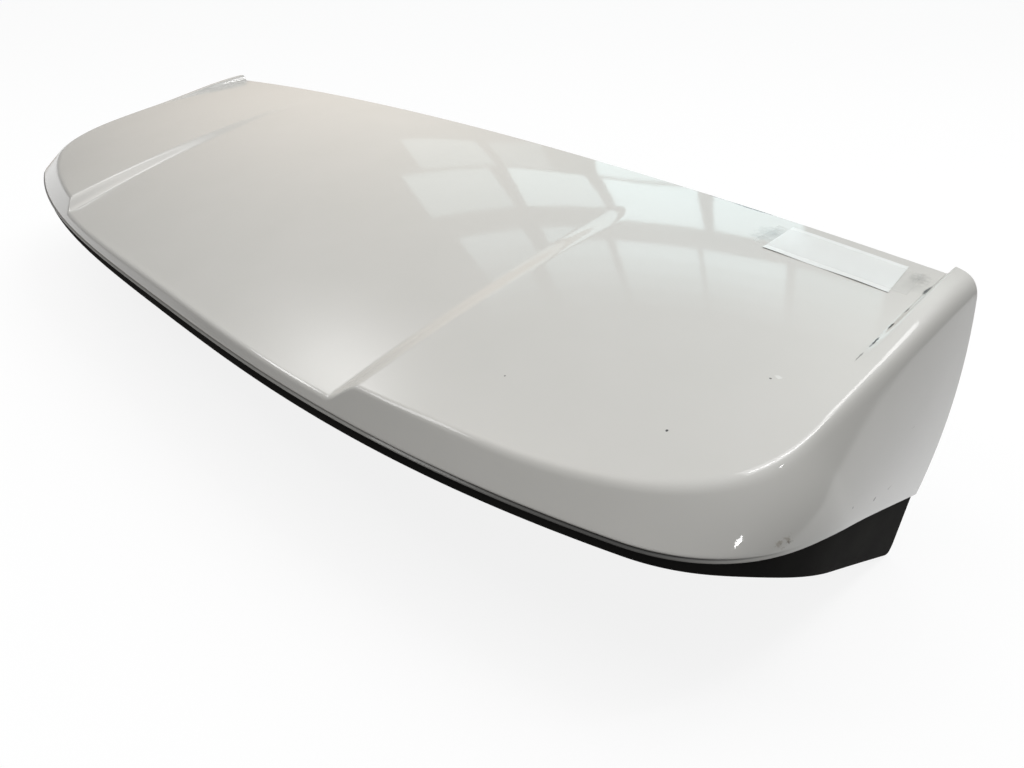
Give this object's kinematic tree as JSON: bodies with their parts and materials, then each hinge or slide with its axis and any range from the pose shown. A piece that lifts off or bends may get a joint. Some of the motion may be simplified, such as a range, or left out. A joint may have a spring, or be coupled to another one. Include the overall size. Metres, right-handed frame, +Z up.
{
  "type": "boot spoiler",
  "caption": "Painted roof-edge spoiler for a car tailgate: a crowned white shell with a sunk middle panel and falling cheeks over a grained black lower cover, held by studs under its front",
  "frame": {"origin": "midway between the two inner mounting studs, on the face that their flanges and seals clamp to", "axes": "X across the car, +Y forwards to the roof edge, Z up as fitted to the closed tailgate"},
  "size_m": [1.156, 0.3833, 0.2082],
  "materials": {
    "white_paint": "gloss white paint under clear coat, over moulded plastic",
    "black_plastic": "fine moulded grain",
    "plated_steel": "zinc plated",
    "seal_foam": "closed-cell foam",
    "blackened_steel": "black phosphate"
  },
  "bodies": {
    "root": {"upper_shell": "white_paint", "lower_cover": "black_plastic", "mounting_studs": "plated_steel", "stud_seals": "seal_foam", "cover_screws": "blackened_steel", "front_foam_strip": "seal_foam"}
  },
  "joints": []
}
